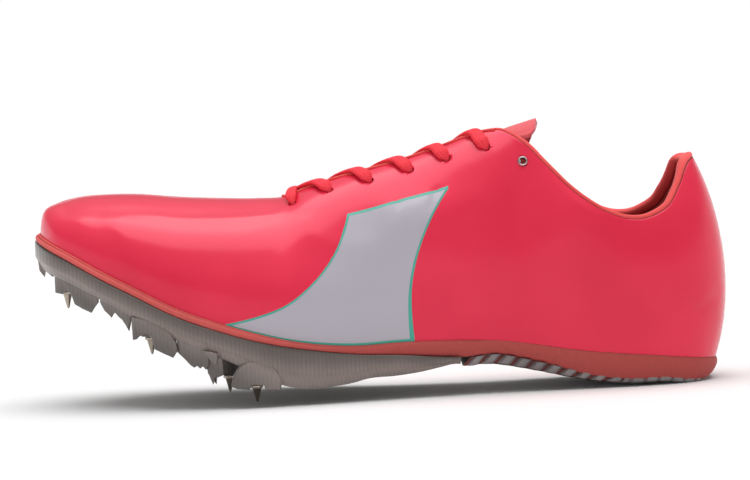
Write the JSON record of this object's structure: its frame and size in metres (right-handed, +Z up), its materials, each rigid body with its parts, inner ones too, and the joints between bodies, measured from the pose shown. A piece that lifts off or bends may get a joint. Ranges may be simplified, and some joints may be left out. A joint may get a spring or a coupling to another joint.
{
  "type": "track spike shoe",
  "caption": "Low sprint running shoe with a thin glossy upper, laced throat, thin foam midsole, toothed spike plate with screw-in pins under the ball and a ribbed heel tread.",
  "frame": {"origin": "centre of the heel's flat spot, on the floor", "axes": "+Z up, toe towards -X, outer (lateral) side towards -Y"},
  "size_m": [0.2801, 0.0888, 0.108],
  "materials": {
    "upper_film": "glossy coated film on cloth",
    "side_panel": "satin printed panel",
    "edge_tape": "soft knitted tape",
    "lining": "brushed lining",
    "tongue_cloth": "thin padded cloth",
    "insole_cloth": "matt cloth on foam",
    "midsole_foam": "matt moulded foam",
    "plate_plastic": "satin moulded plastic, slightly cloudy",
    "tread_rubber": "matt ribbed rubber",
    "pin_steel": "turned, pale champagne",
    "lace_braid": "flat braid"
  },
  "bodies": {
    "root": {"upper": "upper_film", "collar_binding": "edge_tape", "tongue": "tongue_cloth", "insole": "insole_cloth", "midsole": "midsole_foam", "spike_plate": "plate_plastic", "heel_tread": "tread_rubber", "spike_1": "pin_steel", "spike_2": "pin_steel", "spike_3": "pin_steel", "spike_4": "pin_steel", "spike_5": "pin_steel", "spike_6": "pin_steel", "spike_7": "pin_steel", "lace_bar": "lace_braid", "lace_crossing_1": "lace_braid", "lace_crossing_2": "lace_braid", "lace_crossing_3": "lace_braid", "lace_crossing_4": "lace_braid", "lace_crossing_5": "lace_braid", "eyelet_lateral": "pin_steel", "eyelet_medial": "pin_steel"}
  },
  "joints": []
}
